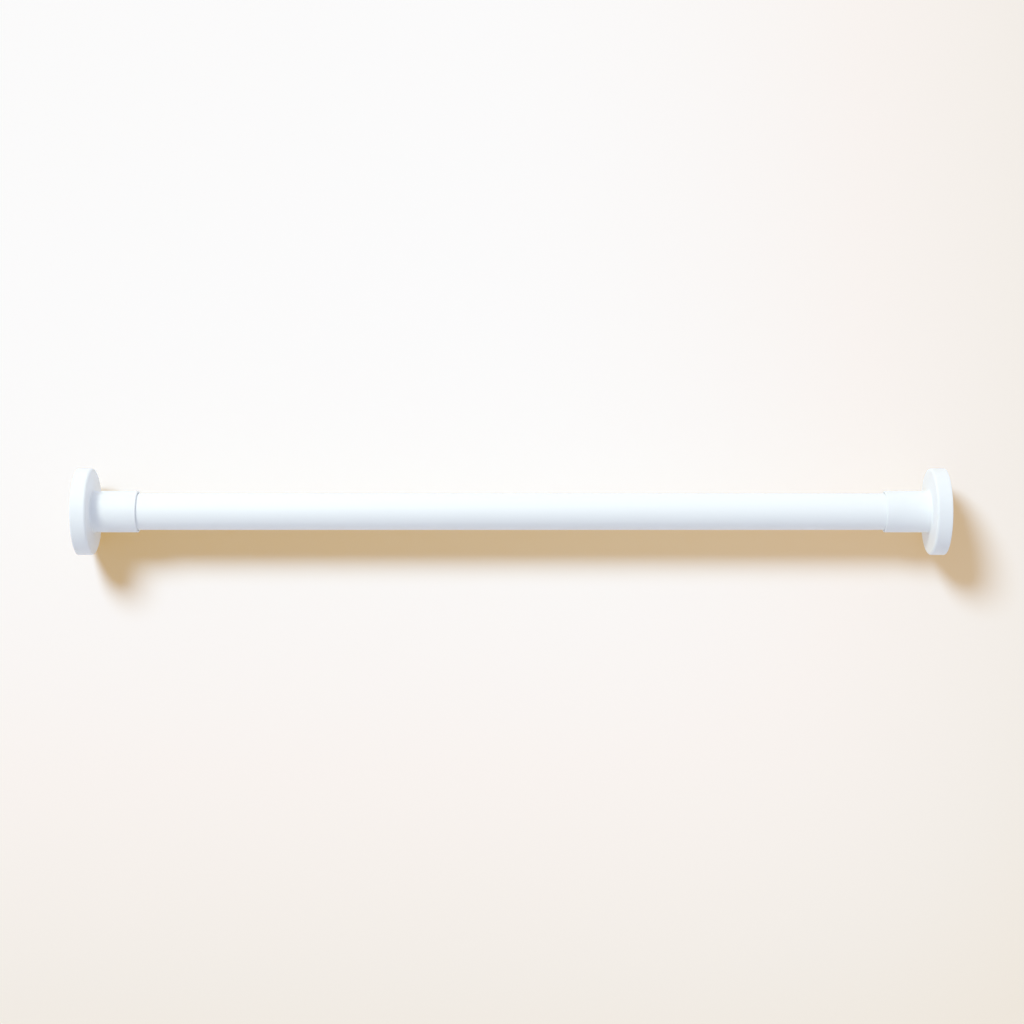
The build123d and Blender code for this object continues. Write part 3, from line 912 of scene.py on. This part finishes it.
class RodSizes(PropertyGroup):
    """Sizes of the rod's pieces that the frame's boxes don't give."""

    tube_wall: FloatProperty(
        name="Tube wall", description="Thickness of both tubes' walls", default=0.8 * MM, **LENGTH)
    tube_edge: FloatProperty(
        name="Tube edge", description="Rounding of the tubes' cut ends", default=0.2 * MM, **LENGTH)
    bead_width: FloatProperty(
        name="Bead width", description="Width of the beads rolled into the tubes", default=3.0 * MM, **LENGTH)
    bead_depth: FloatProperty(
        name="Bead depth", description="Depth of the beads rolled into the tubes", default=0.3 * MM, **LENGTH)
    flange_plate: FloatProperty(
        name="Flange plate", description="Thickness of the flange's plate", default=2.5 * MM, **LENGTH)
    rim_wall: FloatProperty(
        name="Rim wall", description="Thickness of the flange's rim", default=2.7 * MM, **LENGTH)
    collar_wall: FloatProperty(
        name="Collar wall", description="Thickness of the collar", default=1.4 * MM, **LENGTH)
    collar_gap: FloatProperty(
        name="Collar gap", description="Room between the collar and the tube", default=0.3 * MM, **LENGTH)
    edge_radius: FloatProperty(
        name="Flange edge", description="Rounding of the flange's face at its rim",
        default=1.8 * MM, **LENGTH)
    collar_foot_radius: FloatProperty(
        name="Collar foot", description="Rounding where the collar meets the flange",
        default=1.0 * MM, **LENGTH)
    collar_lip_radius: FloatProperty(
        name="Collar lip", description="Rounding of the collar's mouth", default=0.6 * MM, **LENGTH)
    rib_count: IntProperty(name="Ribs", description="Ribs behind the flange", min=1, default=12)
    rib_thickness: FloatProperty(
        name="Rib thickness", description="Thickness of each rib", default=1.2 * MM, **LENGTH)
    groove_count: IntProperty(
        name="Pad grooves", description="Ring grooves in the pad's face", min=1, default=4)
    groove_width: FloatProperty(
        name="Groove width", description="Width of a ring groove", default=1.8 * MM, **LENGTH)
    groove_depth: FloatProperty(
        name="Groove depth", description="Depth of a ring groove", default=0.6 * MM, **LENGTH)
    screw_radius: FloatProperty(
        name="Screw radius", description="Outside radius of the screws' threads", default=2.0 * MM, **LENGTH)
    thread_pitch: FloatProperty(
        name="Thread pitch", description="How far a screw goes in one turn", default=0.7 * MM, **LENGTH)
    thread_depth: FloatProperty(
        name="Thread depth", description="Depth of the screws' threads", default=0.4 * MM, **LENGTH)
    recess_reach: FloatProperty(
        name="Recess reach", description="Half the width across the cross recess",
        default=2.05 * MM, **LENGTH)
    recess_depth: FloatProperty(
        name="Recess depth", description="Depth of the cross recess", default=1.3 * MM, **LENGTH)
    spring_wire: FloatProperty(
        name="Spring wire", description="Diameter of the foot spring's wire", default=1.6 * MM, **LENGTH)
    spring_turns: IntProperty(name="Spring turns", description="Turns of the foot spring", min=1, default=9)
    journal_radius: FloatProperty(
        name="Journal radius", description="Radius of the lock plug's off-centre journal",
        default=6.5 * MM, **LENGTH)
    journal_offset: FloatProperty(
        name="Journal offset", description="How far the journal's axis is from the rod's",
        default=1.0 * MM, **LENGTH)
    key_width: FloatProperty(
        name="Key width", description="Width of the journal's stop key", default=2.0 * MM, **LENGTH)
    key_height: FloatProperty(
        name="Key height", description="Height of the stop key over the journal", default=3.0 * MM, **LENGTH)
    cam_groove_count: IntProperty(
        name="Cam grooves", description="Grip grooves round the cam ring", min=1, default=16)
    cam_groove_radius: FloatProperty(
        name="Cam groove radius", description="Radius of a grip groove", default=0.5 * MM, **LENGTH)
    moulded_edge: FloatProperty(
        name="Moulded edge", description="Rounding of the mouldings' inner edges", default=0.3 * MM, **LENGTH)
    soft_edge: FloatProperty(
        name="Soft edge", description="Rounding of edges that look sharp", default=0.12 * MM, **LENGTH)


class RodFinishes(PropertyGroup):
    """Base colours of the rod's finishes, and the size of the texture on its white faces."""

    white_paint: FloatVectorProperty(
        name="Tube paint", description="Powder coat on both tubes", default=(0.90, 0.94, 0.97), **COLOUR)
    white_moulding: FloatVectorProperty(
        name="Flange plastic", description="Moulded flanges and their collars",
        default=(0.875, 0.915, 0.95), **COLOUR)
    grip_pad: FloatVectorProperty(
        name="Wall pad", description="Soft pads that bear on the walls", default=(0.80, 0.82, 0.84), **COLOUR)
    zinc_steel: FloatVectorProperty(
        name="Zinc plate", description="Screws and washers", default=(0.70, 0.72, 0.75), **COLOUR)
    turned_steel: FloatVectorProperty(
        name="Turned steel", description="Plunger rod", default=(0.58, 0.58, 0.58), **COLOUR)
    spring_steel: FloatVectorProperty(
        name="Spring wire", description="Foot spring", default=(0.36, 0.36, 0.37), **COLOUR)
    nylon: FloatVectorProperty(
        name="Nylon", description="Mouth bush, thrust washer and cam ring",
        default=(0.83, 0.81, 0.74), **COLOUR)
    moulded_plug: FloatVectorProperty(
        name="Plug plastic", description="Glass-filled plugs in the tubes",
        default=(0.035, 0.037, 0.04), **COLOUR)
    peel_size: FloatProperty(
        name="Paint peel", description="Size of the spots of the tubes' orange peel",
        default=1.1 * MM, **LENGTH)
    peel_depth: FloatProperty(
        name="Paint peel depth", description="Depth of the orange peel", unit="LENGTH", min=0,
        precision=6, default=0.006 * MM)
    spark_size: FloatProperty(
        name="Mould texture", description="Size of the spots of the flanges' mould texture",
        default=0.35 * MM, **LENGTH)
    spark_depth: FloatProperty(
        name="Mould texture depth", description="Depth of the mould texture", unit="LENGTH", min=0,
        precision=6, default=0.004 * MM)


class RodStage(PropertyGroup):
    """The camera, the light and the surface that the rod lies on."""

    camera_distance: FloatProperty(
        name="Camera distance", description="From the lens to the rod's axis", unit="LENGTH", min=0.2,
        default=1.40)
    axis_pixels_per_metre: FloatProperty(
        name="Image scale", description="Pixels of a 1024 pixel image that a metre at the rod's axis takes",
        min=1, default=1444.0)
    key_place: FloatVectorProperty(
        name="Key place", description="Where the key lamp is, from the left wall face", subtype="XYZ",
        unit="LENGTH", default=(-1.37, 2.2, 2.9))
    key_width: FloatProperty(
        name="Key width", description="How wide the key lamp is", unit="LENGTH", min=0, default=1.15)
    key_strength: FloatProperty(
        name="Key strength", description="Light of the key on a face turned to it at the rod's middle", min=0,
        default=1.55)
    key_colour: FloatVectorProperty(
        name="Key colour", description="Colour of the key lamp", default=(0.96, 1.0, 0.86), **COLOUR)
    surface_key_strength: FloatProperty(
        name="Surface key strength", min=0, default=6.58,
        description="Extra key that falls on the surface alone and deepens its shadows")
    surface_key_width: FloatProperty(
        name="Surface key width", description="How wide the extra key is", unit="LENGTH", min=0, default=1.42)
    surface_key_colour: FloatVectorProperty(
        name="Surface key colour", description="What the extra key adds, so what its shadows lack",
        default=(0.48, 0.626, 1.0), **COLOUR)
    sky_strength: FloatProperty(
        name="Sky strength", description="Soft light from all round", min=0, default=0.68)
    sky_colour: FloatVectorProperty(
        name="Sky colour", description="Colour of the soft light", default=(0.857, 0.888, 1.0), **COLOUR)
    sky_slope: FloatProperty(
        name="Sky slope", description="How much brighter the soft light is on the key's side", min=0, max=1,
        default=0.1)
    # The four creams paint the surface's fall-off of light, from its lit corner to far from the light
    near_cream: FloatVectorProperty(
        name="Lit cream", description="The surface at its brightest, up and left of the rod",
        default=(0.982, 0.982, 0.991), **COLOUR)
    middle_cream: FloatVectorProperty(
        name="Middle cream", description="The surface some way off its brightest place",
        default=(0.956, 0.913, 0.888), **COLOUR)
    low_cream: FloatVectorProperty(
        name="Low cream", description="The surface below the rod", default=(0.896, 0.855, 0.807), **COLOUR)
    far_cream: FloatVectorProperty(
        name="Far cream", description="The surface far from the light",
        default=(0.863, 0.807, 0.730), **COLOUR)
    # The surface's shadows are painted: it glows with this share of its colour, more where the lamps are
    # further
    shade_share: FloatVectorProperty(
        name="Shade share", description="How much of its colour the surface keeps in full shadow",
        default=(0.39, 0.21, 0.02), **COLOUR)
    shade_growth: FloatProperty(
        name="Shade growth", description="How much that share grows where the lamps are twice as far", min=0,
        default=1.5)


# Stage
# The image's side in pixels, the sensor's width in millimetres, and the rod's middle in the image
IMAGE_PIXELS = 1024
SENSOR_WIDTH = 36.0
ROD_CENTRE_PIXEL = (511.3, 511.6)
# The painted fall-off of light on the surface starts right of and below this pixel, over so many pixels
# across and down
FADE_CORNER_PIXEL = (400.0, 250.0)
FADE_PIXELS = (650.0, 730.0)
# How far the fade goes, and where its four creams stand as shares of that
FADE_RANGE = 1.4
FADE_STOPS = (0.0, 0.36, 0.72, 1.0)
# Half the surface's side in metres, and its points along a side
FLOOR_HALF = 8.0
FLOOR_POINTS = 9
# A lamp's light on a level face falls with the distance squared and with the slant, together its cube
FALLOFF_POWER = -3.0
# The share of the sky's slope that reaches a level face, averaged by the cosine of each direction
LEVEL_SHARE = 2 / 3


def worked_out(tree, operation, *inputs):
    """A number made from others by one operation."""
    made = add_node(tree, "ShaderNodeMath", dict(enumerate(inputs)), operation=operation)
    return made.outputs["Value"]


def measured(tree, operation, *inputs):
    """A number made from vectors by one operation, such as a length or a distance."""
    made = add_node(tree, "ShaderNodeVectorMath", dict(enumerate(inputs)), operation=operation)
    return made.outputs["Value"]


def by_channel(tree, operation, *inputs):
    """A vector or colour made from others, channel by channel, by one operation."""
    made = add_node(tree, "ShaderNodeVectorMath", dict(enumerate(inputs)), operation=operation)
    return made.outputs["Vector"]


def seen_directly(tree):
    """One for rays that show the background itself: from the camera, or through a gloss or glass."""
    path = add_node(tree, "ShaderNodeLightPath").outputs
    either = worked_out(tree, "MAXIMUM", path["Is Camera Ray"], path["Is Glossy Ray"])
    return worked_out(tree, "MAXIMUM", either, path["Is Transmission Ray"])


def floor_colour(tree, place, stage, corner, reach):
    """The surface's colour, with a painted fall-off of light from the key's side. It is brightest up and left
    of a corner point, and fades with the length of a vector whose parts are the squares of the distances
    right of and below that point, each over its own reach."""
    away = by_channel(tree, "SUBTRACT", place, corner)
    shares = by_channel(tree, "MULTIPLY", away, (1 / reach[0], -1 / reach[1], 0))
    beyond = by_channel(tree, "MAXIMUM", shares, (0, 0, 0))
    fade = measured(tree, "LENGTH", by_channel(tree, "MULTIPLY", beyond, beyond))
    scaled = add_node(tree, "ShaderNodeMapRange", {"Value": fade, "From Min": 0.0, "From Max": FADE_RANGE})
    ramp = add_node(tree, "ShaderNodeValToRGB", {"Fac": scaled.outputs["Result"]})
    creams = (stage.near_cream, stage.middle_cream, stage.low_cream, stage.far_cream)
    for stop in FADE_STOPS[1:-1]:
        ramp.color_ramp.elements.new(stop)
    for element, stop, cream in zip(ramp.color_ramp.elements, FADE_STOPS, creams):
        element.position = stop
        element.color = (*cream, 1)
    return ramp.outputs["Color"]


def floor_finish(stage, corner, reach, key, sky, middle):
    """The cream surface, with painted light in its shadows. A warm share of its colour glows as painted
    light, which fills its shadows and grows away from the lamps up to the whole colour. The rest is divided
    by the light that falls there, so that in the open the surface has its own colour. That light is the
    sky's, plus the lamps' at the middle over the cube of how much further from them a point is."""
    material = bpy.data.materials.new("cream_surface")
    material.use_nodes = True
    tree = material.node_tree
    tree.nodes.clear()
    place = add_node(tree, "ShaderNodeTexCoord").outputs["Object"]
    # cream carries the painted fall-off of light from the key's side
    cream = floor_colour(tree, place, stage, corner, reach)
    lamp = Vector(stage.key_place)
    further = worked_out(tree, "DIVIDE", measured(tree, "DISTANCE", place, lamp), (lamp - middle).length)
    # The painted glow's share of the colour, which lightens the shadows further from the lamps
    growth = np.full(3, stage.shade_growth)
    painted_glow_share = by_channel(tree, "MULTIPLY_ADD", further, growth, np.array(stage.shade_share) - growth)
    painted_glow_share = by_channel(tree, "MINIMUM", painted_glow_share, (1, 1, 1))
    rest = by_channel(tree, "MULTIPLY", cream, by_channel(tree, "SUBTRACT", (1, 1, 1), painted_glow_share))
    light = by_channel(tree, "MULTIPLY_ADD", worked_out(tree, "POWER", further, FALLOFF_POWER), key, sky)
    face = add_node(tree, "ShaderNodeBsdfDiffuse", {"Color": by_channel(tree, "DIVIDE", rest, light)})
    # Painted light: the surface glows, though it is no lamp, to fill its shadows
    glow = add_node(
        tree, "ShaderNodeEmission", {"Color": by_channel(tree, "MULTIPLY", cream, painted_glow_share), "Strength": 1.0})
    both = add_node(tree, "ShaderNodeAddShader", {0: glow.outputs[0], 1: face.outputs[0]})
    add_node(tree, "ShaderNodeOutputMaterial", {"Surface": both.outputs[0]})
    return material


def make_floor(stage, corner, reach, key, sky, middle):
    """The level surface that the rod lies on, a square grid of points."""
    side = np.linspace(-FLOOR_HALF, FLOOR_HALF, FLOOR_POINTS)
    across, along = np.meshgrid(middle.x + side, side)
    grid = np.stack([across, along, np.full_like(across, middle.z)], axis=-1)
    points, quads, _ = woven(grid, close_columns=False)
    mesh = bpy.data.meshes.new("floor")
    mesh.from_pydata(points.tolist(), [], quads.tolist())
    mesh.materials.append(floor_finish(stage, corner, reach, key, sky, middle))
    floor = bpy.data.objects.new("floor", mesh)
    bpy.context.scene.collection.objects.link(floor)
    return floor


def make_world(stage, direction):
    """Soft light from all round, a little stronger on the key's side, by the cosine to the key's direction.
    Seen directly it is the far cream of the surface."""
    world = bpy.context.scene.world or bpy.data.worlds.new("soft_light")
    bpy.context.scene.world = world
    world.use_nodes = True
    tree = world.node_tree
    tree.nodes.clear()
    way = add_node(tree, "ShaderNodeTexCoord").outputs["Generated"]
    level = add_node(tree, "ShaderNodeMapRange", {
        "Value": measured(tree, "DOT_PRODUCT", way, direction),
        "From Min": -1.0,
        "From Max": 1.0,
        "To Min": stage.sky_strength * (1 - stage.sky_slope),
        "To Max": stage.sky_strength * (1 + stage.sky_slope),
    })
    soft = add_node(
        tree, "ShaderNodeBackground", {"Color": (*stage.sky_colour, 1), "Strength": level.outputs["Result"]})
    shown = add_node(tree, "ShaderNodeBackground", {"Color": (*stage.far_cream, 1), "Strength": 1.0})
    chosen = add_node(
        tree, "ShaderNodeMixShader", {0: seen_directly(tree), 1: soft.outputs[0], 2: shown.outputs[0]})
    add_node(tree, "ShaderNodeOutputWorld", {"Surface": chosen.outputs[0]})


def make_lamp(name, place, distance, width, strength, colour):
    """A round lamp. Its power is the light that it gives at the distance times the area of a sphere of that
    radius."""
    light = bpy.data.lights.new(name, "POINT")
    light.energy = strength * 4 * np.pi * distance ** 2
    light.color = colour
    light.shadow_soft_size = width / 2
    lamp = bpy.data.objects.new(name, light)
    lamp.location = place
    bpy.context.scene.collection.objects.link(lamp)
    return lamp


def make_camera(stage, middle):
    """The camera straight above, where the rod's middle falls on its pixel of the image."""
    off_centre = [(IMAGE_PIXELS / 2 - pixel) / stage.axis_pixels_per_metre for pixel in ROD_CENTRE_PIXEL]
    lens = bpy.data.cameras.new("photo_camera")
    lens.sensor_width = SENSOR_WIDTH
    lens.lens = stage.axis_pixels_per_metre * stage.camera_distance / IMAGE_PIXELS * SENSOR_WIDTH
    camera = bpy.data.objects.new("photo_camera", lens)
    camera.location = (middle.x + off_centre[0], middle.y - off_centre[1], stage.camera_distance)
    bpy.context.scene.collection.objects.link(camera)
    bpy.context.scene.camera = camera
    return camera


# Operators

class CURTAINROD_OT_tubes(Operator):
    """Builds the outer and the inner tube"""

    bl_idname = "curtain_rod.tubes"
    bl_label = "Tubes"
    bl_options = {"REGISTER", "UNDO"}

    def execute(self, context):
        """Turns each tube with a bead over each plug or bush that it grips."""
        rod = context.scene.rod_sizes
        start, end, _ = extent("outer_tube")
        beads = [start + CUP_BEAD_INSET, end - BUSH_BEAD_INSET]
        finish_piece("outer_tube", tube_surface(rod, "outer_tube", beads))
        start, end, _ = extent("inner_tube")
        beads = [(start + extent("lock_plug")[1]) / 2, (end + extent("right_plug")[0]) / 2]
        finish_piece("inner_tube", tube_surface(rod, "inner_tube", beads))
        return {"FINISHED"}


class CURTAINROD_OT_feet(Operator):
    """Builds both flanges and their wall pads"""

    bl_idname = "curtain_rod.feet"
    bl_label = "Flanges and pads"
    bl_options = {"REGISTER", "UNDO"}

    def execute(self, context):
        """Builds the same foot at each wall, facing inwards."""
        rod = context.scene.rod_sizes
        for side in ("left", "right"):
            foot = foot_sizes(rod, side)
            finish_piece(f"{side}_flange", flange_surface(rod, foot))
            finish_piece(f"{side}_pad", pad_surface(rod, foot))
        return {"FINISHED"}


class CURTAINROD_OT_fasteners(Operator):
    """Builds the screws and the washers"""

    bl_idname = "curtain_rod.fasteners"
    bl_label = "Screws and washers"
    bl_options = {"REGISTER", "UNDO"}

    def execute(self, context):
        """Builds two screws that point right, two that point left, and a washer for each."""
        rod = context.scene.rod_sizes
        head_first = {"left_screw": True, "cam_screw": True, "retaining_screw": False, "right_screw": False}
        for node, first in head_first.items():
            finish_piece(node, screw_surface(rod, node, first))
        for node in ("left_washer", "right_washer", "retaining_washer", "cam_washer"):
            finish_piece(node, washer_surface(rod, node, SCREW_HOLE))
        return {"FINISHED"}


class CURTAINROD_OT_sprung_foot(Operator):
    """Builds the plunger rod, the foot spring, the thrust washer and the spring cup"""

    bl_idname = "curtain_rod.sprung_foot"
    bl_label = "Spring and plunger"
    bl_options = {"REGISTER", "UNDO"}

    def execute(self, context):
        """Builds the four pieces, and gives the spring a mesh of its own."""
        rod = context.scene.rod_sizes
        finish_piece("plunger_rod", plunger_surface(rod))
        spring = finish_piece("foot_spring", spring_surface(rod))
        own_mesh(spring)
        bore = extent("plunger_rod")[2] + RUNNING_GAP
        finish_piece("thrust_washer", washer_surface(rod, "thrust_washer", bore))
        finish_piece("spring_cup", cup_surface(rod))
        return {"FINISHED"}


class CURTAINROD_OT_plugs(Operator):
    """Builds the mouth bush and the foot plug"""

    bl_idname = "curtain_rod.plugs"
    bl_label = "Bush and foot plug"
    bl_options = {"REGISTER", "UNDO"}

    def execute(self, context):
        """Turns both pieces from their outlines."""
        rod = context.scene.rod_sizes
        finish_piece("mouth_bush", bush_surface(rod))
        finish_piece("right_plug", foot_plug_surface(rod))
        return {"FINISHED"}


class CURTAINROD_OT_lock(Operator):
    """Builds the twist lock: the plug with its journal, and the cam ring"""

    bl_idname = "curtain_rod.lock"
    bl_label = "Twist lock"
    bl_options = {"REGISTER", "UNDO"}

    def execute(self, context):
        """Builds the lock plug and the cam ring round its journal."""
        rod = context.scene.rod_sizes
        finish_piece("lock_plug", lock_plug_surface(rod))
        finish_piece("cam_ring", cam_ring_surface(rod))
        return {"FINISHED"}


class CURTAINROD_OT_stage(Operator):
    """Sets the camera, the lamps, the soft light and the cream surface round the rod"""

    bl_idname = "curtain_rod.stage"
    bl_label = "Stage"
    bl_options = {"REGISTER", "UNDO"}

    def execute(self, context):
        """Places the camera over the rod and sizes the surface's painted fall-off of light by the image's
        pixels on it.
        """
        stage = context.scene.rod_stage
        low, high = CAD_BOX
        middle = Vector(((low.x + high.x) / 2, 0, low.z))
        camera = make_camera(stage, middle)

        to_lamp = Vector(stage.key_place) - middle
        lights = {
            "key_light": (stage.key_width, stage.key_strength, stage.key_colour),
            "surface_key": (stage.surface_key_width, stage.surface_key_strength, stage.surface_key_colour),
        }
        lamps = {
            name: make_lamp(name, stage.key_place, to_lamp.length, *light) for name, light in lights.items()
        }
        steepness = to_lamp.z / to_lamp.length
        key = sum(strength * np.array(colour) for _, strength, colour in lights.values()) * steepness / np.pi
        slope = stage.sky_slope * steepness * LEVEL_SHARE
        sky = stage.sky_strength * (1 + slope) * np.array(stage.sky_colour)

        nearer = stage.camera_distance / (stage.camera_distance - middle.z)
        pixels_per_metre = stage.axis_pixels_per_metre * nearer
        right, down = ((pixel - IMAGE_PIXELS / 2) / pixels_per_metre for pixel in FADE_CORNER_PIXEL)
        corner = (camera.location.x + right, camera.location.y - down, middle.z)
        reach = [pixels / pixels_per_metre for pixels in FADE_PIXELS]
        floor = make_floor(stage, corner, reach, key, sky, middle)
        alone = bpy.data.collections.new("lit_by_surface_key")
        alone.objects.link(floor)
        lamps["surface_key"].light_linking.receiver_collection = alone

        make_world(stage, to_lamp.normalized())
        context.scene.view_settings.view_transform = "Standard"
        return {"FINISHED"}


OPERATORS = (
    CURTAINROD_OT_tubes,
    CURTAINROD_OT_feet,
    CURTAINROD_OT_fasteners,
    CURTAINROD_OT_sprung_foot,
    CURTAINROD_OT_plugs,
    CURTAINROD_OT_lock,
    CURTAINROD_OT_stage,
)


class CURTAINROD_PT_sidebar(Panel):
    """Lists the rod's colours, its stage and the operators that build it."""

    bl_label = "Curtain Rod"
    bl_idname = "CURTAINROD_PT_sidebar"
    bl_space_type = "VIEW_3D"
    bl_region_type = "UI"
    bl_category = "Curtain Rod"

    def draw(self, context):
        """Draws a box for each group of settings, then a button for each operator."""
        for group in (context.scene.rod_sizes, context.scene.rod_finishes, context.scene.rod_stage):
            box = self.layout.box()
            for name in group.__annotations__:
                box.prop(group, name)
        for operator in OPERATORS:
            self.layout.operator(operator.bl_idname)


CLASSES = (RodSizes, RodFinishes, RodStage, *OPERATORS, CURTAINROD_PT_sidebar)


def register():
    """Registers the classes and hangs the three groups of settings on the scene."""
    for made in CLASSES:
        bpy.utils.register_class(made)
    bpy.types.Scene.rod_sizes = PointerProperty(type=RodSizes)
    bpy.types.Scene.rod_finishes = PointerProperty(type=RodFinishes)
    bpy.types.Scene.rod_stage = PointerProperty(type=RodStage)


def unregister():
    """Takes back what register did."""
    del bpy.types.Scene.rod_stage
    del bpy.types.Scene.rod_finishes
    del bpy.types.Scene.rod_sizes
    for made in reversed(CLASSES):
        bpy.utils.unregister_class(made)


def main():
    """Builds the whole rod and its stage."""
    register()
    bpy.ops.curtain_rod.tubes()
    bpy.ops.curtain_rod.feet()
    bpy.ops.curtain_rod.fasteners()
    bpy.ops.curtain_rod.sprung_foot()
    bpy.ops.curtain_rod.plugs()
    bpy.ops.curtain_rod.lock()
    bpy.ops.curtain_rod.stage()


if __name__ == "__main__":
    main()
